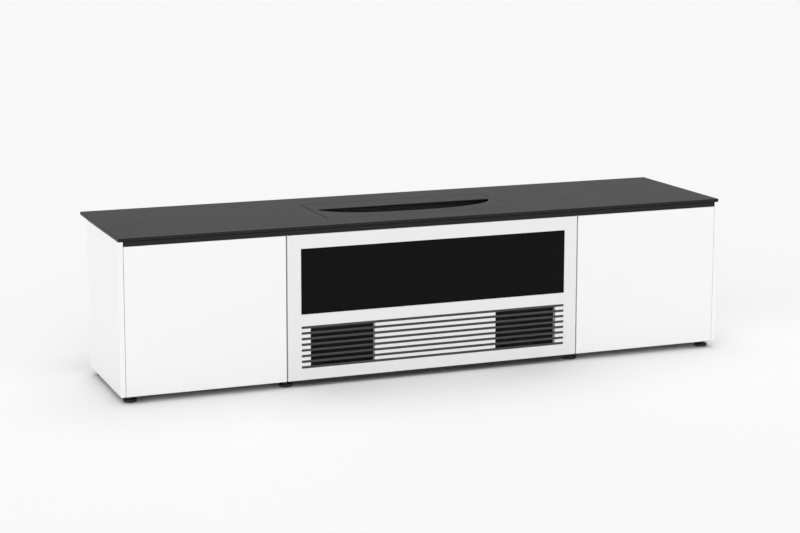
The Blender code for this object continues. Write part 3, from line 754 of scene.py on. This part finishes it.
def bracket_screws():
    """Screws through the door pivots and the fixed hinge leaf, all driven from below."""
    places = []
    for side, sign in SIDES:
        for end in ("top", "bottom"):
            low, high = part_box(f"{side}_{end}_pivot")
            inner = low.x if sign > 0 else high.x
            x = inner + sign * PIVOT_SCREW_INSET
            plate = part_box("sub_top")[0].z - PIVOT_PLATE if end == "top" else low.z
            places += [((x, high.y - setback, plate), DOWN) for setback in PIVOT_SCREW_SETBACKS]
    low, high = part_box("flap_hinge_fixed_leaf")
    y = high.y - LEAF_SCREW_SETBACK
    leaf_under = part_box("flap_hinge_moving_leaf")[1].z - LEAF_PLATE
    across = spaced(low.x + LEAF_SCREW_END, high.x - LEAF_SCREW_END, LEAF_SCREW_STEP)
    places += [((x, y, leaf_under), DOWN) for x in across]
    return places


def latch_screws():
    places = []
    for side, sign in SIDES:
        low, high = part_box(f"{side}_door_latch_body")
        outer = low.x if sign < 0 else high.x
        z = (low.z + high.z) / 2
        rows = (low.y + LATCH_SCREW_FRONT, high.y - LATCH_SCREW_BACK)
        places += [((outer, y, z), (sign, 0, 0)) for y in rows]
    low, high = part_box("flap_latch_body")
    rows = (low.y + LATCH_SCREW_FRONT, high.y - LATCH_SCREW_BACK)
    places += [((0, y, low.z), DOWN) for y in rows]
    return places


def rail_screws():
    places = []
    for side, _ in SIDES:
        low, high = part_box(f"{side}_tray_rail")
        middle = (low.x + high.x) / 2
        floor = (low.z + high.z) / 2
        rows = (low.y + RAIL_SCREW_END, high.y - RAIL_SCREW_END)
        places += [((middle, y, floor), UP) for y in rows]
    return places


def make_screws():
    screw = make_screw()
    for name, places in (("back_panel_screws", back_panel_screws()),
                         ("bracket_screws", bracket_screws()),
                         ("latch_screws", latch_screws()),
                         ("rail_screws", rail_screws())):
        repeat(screw, name, "carcass", places, "steel")
    discard(screw)


def inner_faces(side, sign):
    """The two upright faces of a side bay, each as (x, direction into the bay)."""
    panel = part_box(f"{side}_side_panel")
    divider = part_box(f"{side}_divider")
    outside = panel[0].x if sign > 0 else panel[1].x
    inside = divider[1].x if sign > 0 else divider[0].x
    return ((outside, (-sign, 0, 0)), (inside, (sign, 0, 0)))


def make_bay_fittings():
    """Shelf pins, the sleeves they plug into and the caps over the panel fixings."""
    sleeve = turned("sleeve", [(3.6 * MM, -0.2 * MM), (3.6 * MM, 0.25 * MM), (3.3 * MM, 0.5 * MM),
                               (2.7 * MM, 0.5 * MM), (2.5 * MM, 0.35 * MM), (2.5 * MM, 0.05 * MM)], 20)
    pin = turned("pin", [(2.4 * MM, -1 * MM), (2.4 * MM, 0.6 * MM), (4.2 * MM, 0.7 * MM),
                         (4.2 * MM, 2.0 * MM), (2.5 * MM, 2.2 * MM), (2.5 * MM, 8.0 * MM),
                         (1.9 * MM, 8.8 * MM)], 20)
    cap = turned("cap", [(9.0 * MM, -0.2 * MM), (9.0 * MM, 0.4 * MM), (8.4 * MM, 1.0 * MM),
                         (3.0 * MM, 1.3 * MM)], 28)
    bevelled(sleeve, 0.05 * MM, 1, 50)
    bevelled(pin, 0.15 * MM, 2, 50)
    bevelled(cap, 0.1 * MM, 2, 50)
    for side, sign in SIDES:
        low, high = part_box(f"{side}_shelf")
        rows = (low.y + SIDE_PIN_INSET, high.y - SIDE_PIN_INSET)
        heights = [low.z - 2.6 * MM + step * SLEEVE_PITCH for step in SLEEVE_STEPS]
        free_heights = [z for z in heights if not low.z - 6 * MM < z < high.z + 4 * MM]
        cap_heights = (LOW_CAP_HEIGHT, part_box("sub_top")[0].z - HIGH_CAP_DROP)
        sleeves = []
        pins = []
        caps = []
        for x, inwards in inner_faces(side, sign):
            for y in rows:
                sleeves += [((x, y, z), inwards) for z in free_heights]
                pins.append(((x, y, low.z - PIN_DROP), inwards))
                caps += [((x, y, z), inwards) for z in cap_heights]
        repeat(sleeve, f"{side}_pin_sleeves", "carcass", sleeves, "steel")
        repeat(pin, f"{side}_shelf_pins", "carcass", pins, "steel")
        repeat(cap, f"{side}_fixing_caps", "carcass", caps, "plastic")
    low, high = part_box("speaker_shelf")
    rows = (low.y + SPEAKER_PIN_INSET, high.y - SPEAKER_PIN_INSET)
    pins = [((sign * (abs(low.x) + 0.3 * MM), y, low.z - PIN_DROP), (-sign, 0, 0))
            for _, sign in SIDES for y in rows]
    repeat(pin, "speaker_shelf_pins", "carcass", pins, "steel")
    for piece in (sleeve, pin, cap):
        discard(piece)


def make_bumpers():
    """Soft buttons on the backs of the fronts, which meet the dividers' front edges, and tray pads."""
    bumper = turned("bumper", [(3.2 * MM, 0), (3.2 * MM, 1.6 * MM), (2.6 * MM, 2.3 * MM),
                               (1.2 * MM, 2.6 * MM)], 20)
    bevelled(bumper, 0.2 * MM, 2, 50)
    pad = turned("tray_pad", [(13 * MM, 0), (13 * MM, 1.2 * MM), (12 * MM, 1.8 * MM), (9 * MM, 1.8 * MM),
                              (8.4 * MM, 1.2 * MM)], 36)
    bevelled(pad, 0.2 * MM, 2, 30)
    for side, sign in SIDES:
        low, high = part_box(f"{side}_door")
        x = (low.x if sign > 0 else high.x) + sign * BUMPER_EDGE
        places = [((x, high.y, z), BACKWARDS) for z in (low.z + BUMPER_END, high.z - BUMPER_END)]
        repeat(bumper, f"{side}_door_bumpers", f"{side}_door", places, "rubber")
    low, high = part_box("center_flap")
    places = [((sign * (high.x - BUMPER_EDGE), high.y, z), BACKWARDS)
              for _, sign in SIDES for z in (low.z + BUMPER_END, high.z - BUMPER_END)]
    repeat(bumper, "flap_bumpers", "center_flap", places, "rubber")
    low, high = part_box("projector_tray")
    places = [((sign * TRAY_PAD_ACROSS, y, low.z + TRAY_PLATE), UP)
              for _, sign in SIDES for y in (low.y + TRAY_PAD_INSET, high.y - TRAY_PAD_INSET)]
    repeat(pad, "tray_pads", "projector_tray", places, "rubber")
    discard(bumper)
    discard(pad)


def dress_nodes():
    """The CAD nodes that stay in view take their material here."""
    for name, node in NODES.items():
        if name.endswith("_plunger") or name == "flap_hinge_pin":
            node.data.materials.clear()
            node.data.materials.append(LOOKS["steel"])


# --- build -----------------------------------------------------------------------
make_camera()
make_studio()
make_boards()
make_cloth()
make_screens()
make_feet()
make_screws()
make_bay_fittings()
make_bumpers()
dress_nodes()
